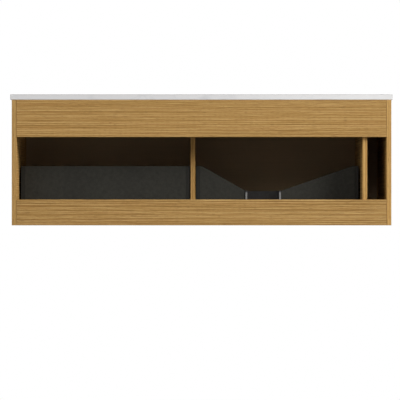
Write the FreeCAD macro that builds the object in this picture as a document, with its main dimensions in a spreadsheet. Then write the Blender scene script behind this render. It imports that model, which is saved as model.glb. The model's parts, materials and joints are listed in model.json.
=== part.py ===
import FreeCAD, Part
import math
import os
import re

import Sketcher

# Wall-hung bathroom vanity: an oak board carcass with an open back, a stone top with one
# undermount basin, a plain drawer, a drawer that leaves room for the plumbing, and a slim door.
# Sizes are in millimetres. The front faces -Y, the wall is the plane Y = 0, +X is to the right
# seen from the front, and the origin is the middle of the hanging rail's wall face.

SIZES = {
    # carcass boards
    "body_width": 1512,
    "body_height": 500,
    "body_depth": 510,
    "panel": 19,
    "edge_ease": 0.8,
    "hanging_rail_height": 148,
    "lower_rail_height": 103,
    "front_rail_height": 60,
    "finger_channel": 32,
    "end_bay": 75.8,
    "pipe_space": 137,
    # dowels between the side panels and the boards that end on them
    "dowel_radius": 4,
    "dowel_flutes": 12,
    "dowel_length": 32,
    "dowel_depth": 12,
    "dowel_inset": 30,
    "dowel_clearance": 0.05,
    # drawer fronts and door
    "front_board": 19,
    "front_gap": 3,
    "finger_gap": 22,
    "grip_bevel": 12,
    "bumper_gap": 2,
    "bumper_width": 7,
    "bumper_inset": 40,
    "running_gap": 0.3,
    # stone top
    "counter_thickness": 22,
    "counter_side_overhang": 6,
    "counter_front_overhang": 10,
    "counter_ease": 1.5,
    "faucet_from_wall": 52,
    "faucet_hole_radius": 17.5,
    # ceramic basin
    "sink_from_end": 507,
    "bowl_length": 460,
    "bowl_front_room": 103,
    "faucet_deck": 117,
    "bowl_corner": 55,
    "bowl_depth": 112,
    "bowl_draft": 8,
    "bowl_wall": 10,
    "bowl_floor_round": 26,
    "shell_bevel": 20,
    "rim_reveal": 4,
    "flange_width": 20,
    "flange_thickness": 12,
    "drain_radius": 22.5,
    "drain_seat_radius": 33,
    "drain_seat_depth": 3,
    "drain_boss_radius": 38,
    "drain_boss_drop": 12,
    "overflow_radius": 10,
    "overflow_drop": 38,
    "overflow_duct_width": 46,
    "overflow_duct_depth": 20,
    "overflow_duct_height": 96,
    "clip_sheet": 2,
    "clip_width": 26,
    "clip_foot": 16,
    "clip_hook": 10,
    "clip_spread": 150,
    "basin_side_room": 3.3,
    # drawer boxes
    "drawer_set_in": 4,
    "drawer_height": 193,
    "drawer_lift": 26,
    "drawer_side_gap": 8,
    "drawer_centre_gap": 3,
    "drawer_board": 16,
    "drawer_ease": 0.5,
    "drawer_base": 12,
    "base_recess": 13,
    "base_groove": 6,
    # room for the plumbing in the sink drawer
    "notch_height": 93,
    "notch_shoulder": 8,
    "recess_width": 129,
    "recess_wall": 7,
    "recess_depth": 200,
    "trim_thickness": 2.5,
    "trim_drop": 6,
    # drawer runners
    "runner_spare": 10,
    "mid_runner_spare": 40,
    "runner_setback": 3,
    "mid_runner_setback": 13,
    "runner_steel": 1.5,
    "runner_play": 0.4,
    "runner_channel": 20,
    "runner_side_room": 3,
    "runner_drop": 7,
    "runner_lip": 9,
    "runner_flange": 26,
    "clip_block_length": 55,
    "clip_block_width": 30,
    "clip_block_height": 11,
    "clip_lever_length": 24,
    "clip_lever_height": 5,
    # slim door on pivots
    "pivot_inset": 9,
    "pivot_depth": 7,
    "pivot_land": 26,
    "pin_radius": 2,
    "pin_reach": 12,
    "pin_washer_radius": 5.5,
    "pin_washer": 1.5,
    "pin_clearance": 0.05,
    "bush_wall": 1.2,
    "bush_flange_radius": 5,
    "bracket_sheet": 2.5,
    "bracket_length": 40,
    "bracket_height": 17,
    "catch_length": 38,
    "catch_width": 13,
    "catch_height": 16,
    "catch_drop": 60,
    "strike_thickness": 1.5,
}

# Levels and faces that several pieces share, each worked out from the sizes above.
LEVELS = {
    "floor_level": "hanging_rail_height / 2 - body_height",
    "top_level": "hanging_rail_height / 2",
    "deck_level": "floor_level + panel",
    "left_face": "-body_width / 2",
    "inner_left": "left_face + panel",
    "inner_right": "-inner_left",
    "inner_width": "inner_right - inner_left",
    "end_divider_left": "inner_left + end_bay",
    "sink_left": "end_divider_left + panel",
    "sink_right": "sink_centre + clip_end + basin_side_room",
    "plain_left": "sink_right + panel",
    "front_face": "-body_depth",
    "front_back": "front_face + front_board",
    "divider_front": "front_back + bumper_gap",
    "front_rail_face": "front_back + finger_channel",
    "front_bottom": "deck_level + front_gap",
    "front_top": "top_level - finger_gap",
    "front_height": "front_top - front_bottom",
    "door_left": "inner_left + front_gap",
    "door_right": "end_divider_left + panel / 2 - front_gap / 2",
    "sink_front_left": "door_right + front_gap",
    "sink_front_right": "sink_right + panel / 2 - front_gap / 2",
    "plain_front_left": "sink_front_right + front_gap",
    "plain_front_right": "inner_right - front_gap",
    "sink_centre": "left_face + sink_from_end",
    "bowl_width": "body_depth - bowl_front_room - faucet_deck",
    "sink_from_wall": "faucet_deck + bowl_width / 2",
    "rim_length": "bowl_length + 2 * rim_reveal",
    "rim_width": "bowl_width + 2 * rim_reveal",
    "rim_corner": "bowl_corner + rim_reveal",
    "clip_end": "rim_length / 2 + flange_width + clip_sheet / 2 + clip_foot",
    "drawer_floor": "deck_level + drawer_lift",
    "drawer_top": "drawer_floor + drawer_height",
    "base_underside": "drawer_floor + base_recess",
    "base_top": "base_underside + drawer_base",
    "plain_box_left": "plain_left + drawer_centre_gap",
    "plain_box_right": "inner_right - drawer_side_gap",
    "sink_box_left": "sink_left + drawer_side_gap",
    "sink_box_right": "sink_right - drawer_centre_gap",
    "drawer_rear": "-pipe_space - drawer_set_in",
    "drawer_length": "drawer_rear - front_back",
    "runner_length": "drawer_length - runner_spare",
    "mid_runner_length": "runner_length - mid_runner_spare",
    "notch_level": "drawer_floor + notch_height",
    "recess_left": "sink_centre - recess_width / 2 - recess_wall",
    "recess_right": "sink_centre + recess_width / 2 + recess_wall",
    "recess_front": "drawer_rear - recess_depth",
    "runner_level": "drawer_floor - runner_drop",
    "runner_inset": "drawer_board + runner_side_room",
    "cover_play": "runner_play + runner_steel",
    "pivot_x": "door_left + pivot_inset",
    "pivot_y": "front_face + pivot_depth",
    "bush_radius": "pin_radius + pin_clearance + bush_wall",
    "bush_flange": "front_gap - pin_washer - running_gap",
}

doc = FreeCAD.newDocument("vanity")
sheet = doc.addObject("Spreadsheet::Sheet", "dims")
for row, (alias, number) in enumerate(SIZES.items(), start=1):
    sheet.set(f"A{row}", str(number))
    sheet.setAlias(f"A{row}", alias)
doc.recompute()

pieces = []


def bound(text):
    """Write an expression in terms of the sheet's cells, with each level spelled out."""
    def swap(match):
        word = match.group()
        if word in LEVELS:
            return f"({bound(LEVELS[word])})"
        if word not in SIZES:
            raise KeyError(f"no size or level called {word}")
        return f"dims.{word}"
    return re.sub(r"[a-z_]+", swap, text)


def value(text):
    """Return what an expression comes to now."""
    return float(sheet.evalExpression(bound(text)))


def move_to(thing, corner):
    """Bind where a piece or feature stands."""
    for axis, text in zip("xyz", corner):
        thing.setExpression(f"Placement.Base.{axis}", bound(text))


def bind_size(thing, size):
    """Bind the three edges of a box."""
    for edge, text in zip(("Length", "Width", "Height"), size):
        thing.setExpression(edge, bound(text))


def keep(piece, label):
    """Name a finished piece and put it on the list of pieces to write."""
    piece.Label = label
    pieces.append(piece)
    return piece


def start_body(label, corner):
    """Start a piece that is built up feature by feature at the given corner."""
    body = keep(doc.addObject("PartDesign::Body", label), label)
    move_to(body, corner)
    return body


def add_box(body, size, corner=("0", "0", "0")):
    """Add a box to a body."""
    box = body.newObject("PartDesign::AdditiveBox", f"{body.Name}_box")
    bind_size(box, size)
    move_to(box, corner)
    return box


def confirm_cut(feature):
    """Stop if a cut took nothing off its body."""
    doc.recompute()
    if feature.Shape.Volume >= feature.BaseFeature.Shape.Volume:
        raise RuntimeError(f"{feature.Name} cuts nothing")


def cut_box(body, size, corner):
    """Cut a box out of a body."""
    box = body.newObject("PartDesign::SubtractiveBox", f"{body.Name}_cut")
    bind_size(box, size)
    move_to(box, corner)
    confirm_cut(box)


AXIS_TURNS = {
    "x": FreeCAD.Rotation(FreeCAD.Vector(0, 1, 0), 90),
    "y": FreeCAD.Rotation(FreeCAD.Vector(1, 0, 0), -90),
    "z": FreeCAD.Rotation(),
}


def shape_cylinder(cylinder, radius, length, start, axis):
    """Bind a cylinder that runs up the given axis from its start point."""
    cylinder.setExpression("Radius", bound(radius))
    cylinder.setExpression("Height", bound(length))
    cylinder.Placement = FreeCAD.Placement(FreeCAD.Vector(), AXIS_TURNS[axis])
    move_to(cylinder, start)
    return cylinder


def add_cylinder(body, radius, length, start, axis="z"):
    """Add a cylinder to a body."""
    cylinder = body.newObject("PartDesign::AdditiveCylinder", f"{body.Name}_round")
    return shape_cylinder(cylinder, radius, length, start, axis)


def cut_cylinder(body, radius, length, start, axis="z"):
    """Bore a hole in a body."""
    cylinder = body.newObject("PartDesign::SubtractiveCylinder", f"{body.Name}_bore")
    shape_cylinder(cylinder, radius, length, start, axis)
    confirm_cut(cylinder)


def ease_edges(body, size="edge_ease"):
    """Break every edge that the body has so far."""
    doc.recompute()
    chamfer = body.newObject("PartDesign::Chamfer", f"{body.Name}_ease")
    chamfer.Base = (chamfer.BaseFeature, [""])
    chamfer.UseAllEdges = True
    chamfer.setExpression("Size", bound(size))
    doc.recompute()


def start_sketch(body, plane, drop="0"):
    """Start a sketch on one of the body's own planes, moved along its normal."""
    sketch = body.newObject("Sketcher::SketchObject", f"{body.Name}_sketch")
    support = next(feature for feature in body.Origin.OriginFeatures if feature.Role == plane)
    sketch.AttachmentSupport = (support, [""])
    sketch.MapMode = "FlatFace"
    sketch.setExpression("AttachmentOffset.Base.z", bound(drop))
    return sketch


def bind_datum(sketch, constraint, name, text):
    """Add a dimension to a sketch and bind it."""
    number = sketch.addConstraint(constraint)
    sketch.renameConstraint(number, name)
    sketch.setExpression(f"Constraints.{name}", bound(text))


def outline(body, plane, corners, drop="0"):
    """Sketch a closed outline with straight sides, every corner bound."""
    sketch = start_sketch(body, plane, drop)
    spots = [FreeCAD.Vector(value(across), value(up), 0) for across, up in corners]
    for spot, following in zip(spots, spots[1:] + spots[:1]):
        sketch.addGeometry(Part.LineSegment(spot, following), False)
    for side in range(len(corners)):
        sketch.addConstraint(Sketcher.Constraint("Coincident", side, 2, (side + 1) % len(corners), 1))
    for side, (across, up) in enumerate(corners):
        level = Sketcher.Constraint("DistanceX", -1, 1, side, 1, spots[side].x)
        bind_datum(sketch, level, f"across_{side}", across)
        level = Sketcher.Constraint("DistanceY", -1, 1, side, 1, spots[side].y)
        bind_datum(sketch, level, f"up_{side}", up)
    return sketch


def rounded_outline(body, length, width, radius, drop="0"):
    """Sketch a rectangle with round corners about the body's own Z axis."""
    sketch = start_sketch(body, "XY_Plane", drop)
    half_x, half_y, corner = value(length) / 2, value(width) / 2, value(radius)
    centres = [(1, -1), (1, 1), (-1, 1), (-1, -1)]
    starts = [(-1, -1, 1, 0), (1, -1, 0, 1), (1, 1, -1, 0), (-1, 1, 0, -1)]
    for turn, ((side_x, side_y), (from_x, from_y, step_x, step_y)) in enumerate(zip(centres, starts)):
        inset_x, inset_y = half_x - corner, half_y - corner
        start = FreeCAD.Vector(from_x * (half_x - corner * abs(step_x)),
                               from_y * (half_y - corner * abs(step_y)), 0)
        run = FreeCAD.Vector(step_x * 2 * inset_x, step_y * 2 * inset_y, 0)
        sketch.addGeometry(Part.LineSegment(start, start + run), False)
        centre = FreeCAD.Vector(side_x * inset_x, side_y * inset_y, 0)
        circle = Part.Circle(centre, FreeCAD.Vector(0, 0, 1), corner)
        quarter = Part.ArcOfCircle(circle, (turn - 1) * math.pi / 2, turn * math.pi / 2)
        sketch.addGeometry(quarter, False)
    for side in range(4):
        line, arc, following = 2 * side, 2 * side + 1, (2 * side + 2) % 8
        sketch.addConstraint(Sketcher.Constraint("Tangent", line, 2, arc, 1))
        sketch.addConstraint(Sketcher.Constraint("Tangent", arc, 2, following, 1))
        sketch.addConstraint(Sketcher.Constraint("Vertical" if side % 2 else "Horizontal", line))
        if side:
            sketch.addConstraint(Sketcher.Constraint("Equal", 1, arc))
    bind_datum(sketch, Sketcher.Constraint("Radius", 1, corner), "corner", radius)
    edges = (("DistanceY", 0, f"-({width}) / 2"), ("DistanceX", 2, f"({length}) / 2"),
             ("DistanceY", 4, f"({width}) / 2"), ("DistanceX", 6, f"-({length}) / 2"))
    for kind, line, text in edges:
        bind_datum(sketch, Sketcher.Constraint(kind, -1, 1, line, 1, value(text)), f"edge_{line}", text)
    return sketch


def raise_sketch(body, kind, sketch, length, draft="0", backwards=False):
    """Pad or pocket a sketch, narrowing by the draft angle in degrees."""
    feature = body.newObject(f"PartDesign::{kind}", f"{body.Name}_{kind.lower()}")
    feature.Profile = sketch
    feature.Reversed = backwards
    feature.setExpression("Length", bound(length))
    feature.setExpression("TaperAngle", bound(draft))
    if kind == "Pocket":
        confirm_cut(feature)
    return feature


def board(label, corner, size, ease="edge_ease"):
    """Make a plain board with broken edges."""
    body = start_body(label, corner)
    add_box(body, size)
    ease_edges(body, ease)
    return body


def loose_box(name, corner, size):
    """Make a box that a group or a fused piece takes in."""
    box = doc.addObject("Part::Box", name)
    bind_size(box, size)
    move_to(box, corner)
    return box


def fuse(name, members):
    """Fuse loose solids into one."""
    fused = doc.addObject("Part::MultiFuse", name)
    fused.Shapes = members
    return fused


def group(label, members):
    """Collect alike solids that share one node."""
    compound = doc.addObject("Part::Compound", label)
    compound.Links = members
    return keep(compound, label)


def dowel_spots():
    """List the dowels of each board that ends on the side panels, as depth and height."""
    rail_middle = "-panel / 2"
    spread = "hanging_rail_height / 2 - dowel_inset"
    deck_middle = "floor_level + panel / 2"
    return {
        "hanging_rail": [(rail_middle, spread), (rail_middle, f"-({spread})")],
        "lower_rail": [(rail_middle, "floor_level + lower_rail_height / 2")],
        "bottom_panel": [("-panel - dowel_inset", deck_middle),
                         ("front_face + dowel_inset", deck_middle)],
        "front_rail": [("front_rail_face + panel / 2", "top_level - front_rail_height / 2")],
    }


def bore_for_dowels(body, corner, spots, depth, start):
    """Bore a board for dowels that run along X from the given X inside the body."""
    for y_spot, z_spot in spots:
        spot = (start, f"{y_spot} - ({corner[1]})", f"{z_spot} - ({corner[2]})")
        cut_cylinder(body, "dowel_radius + dowel_clearance", depth, spot, "x")


def end_board(label, corner, depth, height):
    """Make a board that runs between the side panels, bored for its dowels."""
    body = board(label, corner, ("inner_width", depth, height))
    reach = "dowel_length - dowel_depth + dowel_clearance"
    spots = dowel_spots()[label]
    bore_for_dowels(body, corner, spots, reach, "0")
    bore_for_dowels(body, corner, spots, reach, f"inner_width - ({reach})")
    return body


def make_side_panels():
    """Make the two side panels, bored for the dowels of the boards between them."""
    depth = "dowel_depth + dowel_clearance"
    every_spot = [spot for spots in dowel_spots().values() for spot in spots]
    for label, face, start in (("side_panel_left", "left_face", f"panel - ({depth})"),
                               ("side_panel_right", "inner_right", "0")):
        corner = (face, "front_face", "floor_level")
        body = board(label, corner, ("panel", "body_depth", "body_height"))
        bore_for_dowels(body, corner, every_spot, depth, start)


def make_dowels():
    """Make the fluted dowels, half in a side panel and half in the end of a board."""
    dowels = []
    for spots in dowel_spots().values():
        for y_spot, z_spot in spots:
            for start in ("inner_left - dowel_depth", "inner_right + dowel_depth - dowel_length"):
                dowel = doc.addObject("Part::Prism", "dowel")
                dowel.setExpression("Polygon", bound("dowel_flutes"))
                dowel.setExpression("Circumradius", bound("dowel_radius"))
                dowel.setExpression("Height", bound("dowel_length"))
                dowel.Placement = FreeCAD.Placement(FreeCAD.Vector(), AXIS_TURNS["x"])
                move_to(dowel, (start, y_spot, z_spot))
                dowels.append(dowel)
    group("carcass_dowels", dowels)


def make_rails_and_deck():
    """Make the boards that run between the side panels."""
    end_board("hanging_rail", ("inner_left", "-panel", "-hanging_rail_height / 2"),
              "panel", "hanging_rail_height")
    end_board("lower_rail", ("inner_left", "-panel", "floor_level"), "panel", "lower_rail_height")
    end_board("front_rail", ("inner_left", "front_rail_face", "top_level - front_rail_height"),
              "panel", "front_rail_height")
    deck = end_board("bottom_panel", ("inner_left", "front_face", "floor_level"),
                     "body_depth - panel", "panel")
    pivot = ("pivot_x - inner_left", "pivot_depth", "panel - pin_reach")
    cut_cylinder(deck, "pin_radius + pin_clearance", "pin_reach", pivot)


def make_dividers():
    """Make the upright dividers, each notched at the top for the front rail."""
    notch_rear, top = "front_rail_face + panel", "top_level - deck_level"
    step = f"{top} - front_rail_height"
    for label, face, rear in (("end_divider", "end_divider_left", "-panel"),
                              ("centre_divider", "sink_right", "-pipe_space")):
        corners = [("divider_front", "0"), (rear, "0"), (rear, top), (notch_rear, top),
                   (notch_rear, step), ("divider_front", step)]
        body = start_body(label, (face, "0", "deck_level"))
        raise_sketch(body, "Pad", outline(body, "YZ_Plane", corners), "panel")
        ease_edges(body)


def make_countertop():
    """Make the stone top with its basin cut-out and faucet hole."""
    body = start_body("countertop", ("sink_centre", "-sink_from_wall", "top_level"))
    depth = "body_depth + counter_front_overhang"
    left = "left_face - counter_side_overhang - sink_centre"
    size = ("body_width + 2 * counter_side_overhang", depth, "counter_thickness")
    add_box(body, size, (left, f"sink_from_wall - ({depth})", "0"))
    ease_edges(body, "counter_ease")
    opening = rounded_outline(body, "bowl_length", "bowl_width", "bowl_corner")
    raise_sketch(body, "Pocket", opening, "counter_thickness", backwards=True)
    cut_cylinder(body, "faucet_hole_radius", "counter_thickness",
                 ("0", "sink_from_wall - faucet_from_wall", "0"))


def edges_at(shape, level):
    """Name the edges of a shape that lie wholly at one height."""
    names = []
    for number, edge in enumerate(shape.Edges, start=1):
        box = edge.BoundBox
        if abs(box.ZMin - level) < 1e-4 and abs(box.ZMax - level) < 1e-4:
            names.append(f"Edge{number}")
    return names


def soften(body, kind, amount, level):
    """Round or bevel the edges of the body that lie at one height."""
    doc.recompute()
    feature = body.newObject(f"PartDesign::{kind}", f"{body.Name}_{kind.lower()}")
    base = feature.BaseFeature
    feature.Base = (base, edges_at(base.Shape, value(level)))
    feature.setExpression("Radius" if kind == "Fillet" else "Size", bound(amount))
    doc.recompute()


def make_basin():
    """Make the ceramic basin: drafted bowl, flange, overflow duct, drain seat and drain boss."""
    body = start_body("sink_basin", ("sink_centre", "-sink_from_wall", "top_level"))
    shell_drop = "bowl_depth + bowl_wall"
    shell = rounded_outline(body, "rim_length + 2 * bowl_wall", "rim_width + 2 * bowl_wall",
                            "rim_corner + bowl_wall")
    raise_sketch(body, "Pad", shell, shell_drop, "-bowl_draft", backwards=True)
    soften(body, "Chamfer", "shell_bevel", f"-({shell_drop})")
    flange = rounded_outline(body, "rim_length + 2 * flange_width", "rim_width + 2 * flange_width",
                             "rim_corner + flange_width")
    raise_sketch(body, "Pad", flange, "flange_thickness", backwards=True)
    duct_rear = "rim_width / 2 + flange_width - clip_sheet"
    add_box(body, ("overflow_duct_width", "overflow_duct_depth + bowl_wall", "overflow_duct_height"),
            ("-overflow_duct_width / 2", f"{duct_rear} - overflow_duct_depth - bowl_wall",
             "-overflow_duct_height"))
    add_cylinder(body, "drain_boss_radius", "drain_boss_drop + bowl_wall",
                 ("0", "0", f"-({shell_drop}) - drain_boss_drop"))
    bowl = rounded_outline(body, "rim_length", "rim_width", "rim_corner")
    raise_sketch(body, "Pocket", bowl, "bowl_depth", "-bowl_draft")
    soften(body, "Fillet", "bowl_floor_round", "-bowl_depth")
    cut_cylinder(body, "drain_seat_radius", "drain_seat_depth",
                 ("0", "0", "-bowl_depth - drain_seat_depth"))
    cut_cylinder(body, "drain_radius", "bowl_wall + drain_boss_drop",
                 ("0", "0", f"-({shell_drop}) - drain_boss_drop"))
    overflow_start = "rim_width / 2 - overflow_duct_depth"
    cut_cylinder(body, "overflow_radius", f"{duct_rear} - bowl_wall / 2 - ({overflow_start})",
                 ("0", overflow_start, "-overflow_drop"), "y")


def make_basin_clips():
    """Make the bent clips that hold the basin's flange against the stone."""
    half_length = "rim_length / 2 + flange_width"
    half_width = "rim_width / 2 + flange_width"
    hook_level = "top_level - flange_thickness - clip_sheet"
    riser = "flange_thickness + clip_sheet"
    clips = []
    for side in ("-1", "1"):
        start = f"sink_centre + {side} * ({half_length} + clip_sheet / 2)"
        foot = f"{start} + {side} * (clip_foot / 2) - clip_foot / 2"
        hook = f"{start} - {side} * (clip_hook / 2) - clip_hook / 2"
        across = "-sink_from_wall - clip_width / 2"
        clips.append(fuse("end_clip", [
            loose_box("clip_foot", (foot, across, "top_level - clip_sheet"),
                      ("clip_foot", "clip_width", "clip_sheet")),
            loose_box("clip_riser", (f"{start} - clip_sheet / 2", across, hook_level),
                      ("clip_sheet", "clip_width", riser)),
            loose_box("clip_hook", (hook, across, hook_level),
                      ("clip_hook", "clip_width", "clip_sheet"))]))
        along = f"sink_centre + {side} * clip_spread - clip_width / 2"
        rear = f"-sink_from_wall + {half_width}"
        clips.append(fuse("rear_clip", [
            loose_box("clip_foot", (along, rear, "top_level - clip_sheet"),
                      ("clip_width", "clip_foot", "clip_sheet")),
            loose_box("clip_riser", (along, rear, hook_level),
                      ("clip_width", "clip_sheet", riser)),
            loose_box("clip_hook", (along, f"{rear} - clip_hook", hook_level),
                      ("clip_width", "clip_hook + clip_sheet", "clip_sheet"))]))
    group("basin_clips", clips)


def make_runner(drawer, side, wall, box, sign):
    """Make one undermount runner: cabinet, middle and drawer members, nested with play."""
    steel, lip = "runner_steel", "runner_lip"
    inner = f"{sign} * ({box} - {wall}) + runner_inset"
    outer = f"{inner} + runner_channel"
    web = "base_underside - runner_level - runner_steel"
    mid_low, mid_high = "runner_steel + runner_play", f"{web} - runner_play"
    mid_inner, mid_outer = f"{inner} + cover_play", f"{outer} - cover_play"
    cover_inner, cover_outer = f"{inner} - cover_play", f"{outer} + cover_play"
    sections = {
        "cabinet": [("0", "0"), (outer, "0"), (outer, lip), (f"{outer} - {steel}", lip),
                    (f"{outer} - {steel}", steel), (f"{inner} + {steel}", steel),
                    (f"{inner} + {steel}", lip), (inner, lip), (inner, steel), (steel, steel),
                    (steel, "runner_flange"), ("0", "runner_flange")],
        "middle": [(mid_inner, mid_low), (mid_inner, mid_high), (mid_outer, mid_high),
                   (mid_outer, mid_low), (f"{mid_outer} - {steel}", mid_low),
                   (f"{mid_outer} - {steel}", f"{mid_high} - {steel}"),
                   (f"{mid_inner} + {steel}", f"{mid_high} - {steel}"),
                   (f"{mid_inner} + {steel}", mid_low)],
        "drawer": [(cover_inner, lip), (cover_inner, f"{web} + {steel}"),
                   (cover_outer, f"{web} + {steel}"), (cover_outer, lip),
                   (f"{cover_outer} - {steel}", lip), (f"{cover_outer} - {steel}", web),
                   (f"{cover_inner} + {steel}", web), (f"{cover_inner} + {steel}", lip)],
    }
    lengths = {"cabinet": ("runner_setback", "runner_length"),
               "middle": ("mid_runner_setback", "mid_runner_length"),
               "drawer": ("runner_setback", "runner_length")}
    for member, section in sections.items():
        setback, length = lengths[member]
        corner = (wall, f"divider_front + {setback} + {length}", "runner_level")
        body = start_body(f"{drawer}_{side}_{member}_runner", corner)
        corners = [(f"{sign} * ({across})", up) for across, up in section]
        raise_sketch(body, "Pad", outline(body, "XZ_Plane", corners), length)


def make_locking_clips(drawer, box_left, box_right):
    """Make the two clips that lock a drawer onto its runners, each with its release lever."""
    clips = []
    for box, sign in ((box_left, "1"), (box_right, "-1")):
        edge = f"{box} + {sign} * (runner_inset + runner_channel + cover_play)"
        near = f"{edge} + {sign} * (clip_block_width / 2) - clip_block_width / 2"
        block_low = "base_underside - clip_block_height"
        clips.append(fuse(f"{drawer}_clip", [
            loose_box("clip_block", (near, "front_back", block_low),
                      ("clip_block_width", "clip_block_length", "clip_block_height")),
            loose_box("clip_lever", (near, "front_back + clip_block_length",
                                     "base_underside - clip_lever_height"),
                      ("clip_block_width / 2", "clip_lever_length", "clip_lever_height"))]))
    group(f"{drawer}_locking_clips", clips)


def front_outline(body):
    """Sketch the end view of a front with its finger bevel along the upper rear edge."""
    return outline(body, "YZ_Plane", [
        ("0", "0"), ("front_board", "0"), ("front_board", "front_height - grip_bevel"),
        ("front_board - grip_bevel", "front_height"), ("0", "front_height")])


def make_bumpers(label, spots):
    """Make the rubber pads on a front's inner face, where it meets a divider's front edge."""
    half = "bumper_width / 2"
    pads = [loose_box("bumper", (f"{across} - {half}", "front_back", f"{up} - {half}"),
                      ("bumper_width", "bumper_gap - running_gap", "bumper_width"))
            for across in spots
            for up in ("front_bottom + bumper_inset", "front_top - bumper_inset")]
    group(label, pads)


def make_drawer(drawer, bay, box, span):
    """Make what both drawers share, between the walls of a bay: front, sides, base and fittings."""
    (bay_left, bay_right), (box_left, box_right), (front_left, front_right) = bay, box, span
    front = start_body(f"{drawer}_front", (front_left, "front_face", "front_bottom"))
    raise_sketch(front, "Pad", front_outline(front), f"{front_right} - {front_left}")
    ease_edges(front)
    for side, face, groove in (("left", box_left, "drawer_board - base_groove"),
                               ("right", f"{box_right} - drawer_board", "0")):
        body = board(f"{drawer}_{side}_side", (face, "front_back", "drawer_floor"),
                     ("drawer_board", "drawer_length", "drawer_height"), "drawer_ease")
        cut_box(body, ("base_groove", "drawer_length", "drawer_base"), (groove, "0", "base_recess"))
    edge = "drawer_board - base_groove"
    base = start_body(f"{drawer}_base", (f"{box_left} + {edge}", "front_back", "base_underside"))
    add_box(base, (f"{box_right} - {box_left} - 2 * ({edge})", "drawer_length", "drawer_base"))
    make_runner(drawer, "left", bay_left, box_left, "1")
    make_runner(drawer, "right", bay_right, box_right, "-1")
    make_locking_clips(drawer, box_left, box_right)
    return base


def make_plain_drawer():
    """Make the drawer with a plain back."""
    make_drawer("plain_drawer", ("plain_left", "inner_right"), ("plain_box_left", "plain_box_right"),
                ("plain_front_left", "plain_front_right"))
    board("plain_drawer_back", ("plain_box_left + drawer_board", "drawer_rear - drawer_board", "base_top"),
          ("plain_box_right - plain_box_left - 2 * drawer_board", "drawer_board", "drawer_top - base_top"),
          "drawer_ease")
    make_bumpers("plain_drawer_bumpers", ["(plain_front_left + plain_left) / 2"])


def make_wing(label, outer, recess, sign):
    """Make one back wing, level beside the drawer side and sloping down to the recess."""
    body = start_body(label, (outer, "drawer_rear", "base_top"))
    reach = f"{sign} * ({recess} - ({outer}))"
    corners = [("0", "0"), (reach, "0"), (reach, "notch_level - base_top"),
               ("notch_shoulder", "drawer_top - base_top"), ("0", "drawer_top - base_top")]
    corners = [(f"{sign} * ({across})", up) for across, up in corners]
    raise_sketch(body, "Pad", outline(body, "XZ_Plane", corners), "drawer_board")
    ease_edges(body, "drawer_ease")


def make_sink_drawer():
    """Make the drawer under the basin, open at the back for the trap and pipes."""
    base = make_drawer("sink_drawer", ("sink_left", "sink_right"), ("sink_box_left", "sink_box_right"),
                       ("sink_front_left", "sink_front_right"))
    base_left = "sink_box_left + drawer_board - base_groove"
    cut_box(base, ("recess_right - recess_left", "recess_depth", "drawer_base"),
            (f"recess_left - ({base_left})", "drawer_length - recess_depth", "0"))
    make_wing("sink_drawer_left_wing", "sink_box_left + drawer_board", "recess_left", "1")
    make_wing("sink_drawer_right_wing", "sink_box_right - drawer_board", "recess_right", "-1")
    wall_height = "notch_level - base_underside"
    for label, face in (("left", "recess_left"), ("right", "recess_right - recess_wall")):
        board(f"sink_drawer_recess_{label}_wall", (face, "recess_front", "base_underside"),
              ("recess_wall", "recess_depth", wall_height), "drawer_ease")
    board("sink_drawer_recess_end_wall", ("recess_left + recess_wall", "recess_front", "base_underside"),
          ("recess_width", "recess_wall", wall_height), "drawer_ease")
    trims = [loose_box("edge_trim", (face, "drawer_rear", "base_underside"),
                       ("recess_wall", "trim_thickness", f"{wall_height} - trim_drop"))
             for face in ("recess_left", "recess_right - recess_wall")]
    group("sink_drawer_edge_trims", trims)
    make_bumpers("sink_drawer_bumpers", ["(sink_front_left + sink_left) / 2",
                                         "(sink_front_right + sink_right) / 2"])


def make_door():
    """Make the slim door with its finger bevel and the bores for its bushes."""
    door = start_body("slim_door", ("door_left", "front_face", "front_bottom"))
    add_box(door, ("door_right - door_left", "front_board", "front_height"))
    ease_edges(door)
    bevel = outline(door, "YZ_Plane", [
        ("front_board", "front_height - grip_bevel"), ("front_board", "front_height"),
        ("front_board - grip_bevel", "front_height")], "pivot_land")
    raise_sketch(door, "Pocket", bevel, "door_right - door_left - pivot_land", backwards=True)
    for start in ("0", "front_height - pin_reach"):
        cut_cylinder(door, "bush_radius + pin_clearance", "pin_reach",
                     ("pivot_inset", "pivot_depth", start))
    strike = ("door_right - catch_width - panel / 2", "front_back", "front_top - catch_drop")
    keep(loose_box("strike_plate", strike, ("catch_width", "strike_thickness", "catch_height")),
         "door_strike_plate")
    make_bumpers("door_bumpers", ["(door_right + end_divider_left) / 2"])


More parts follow.
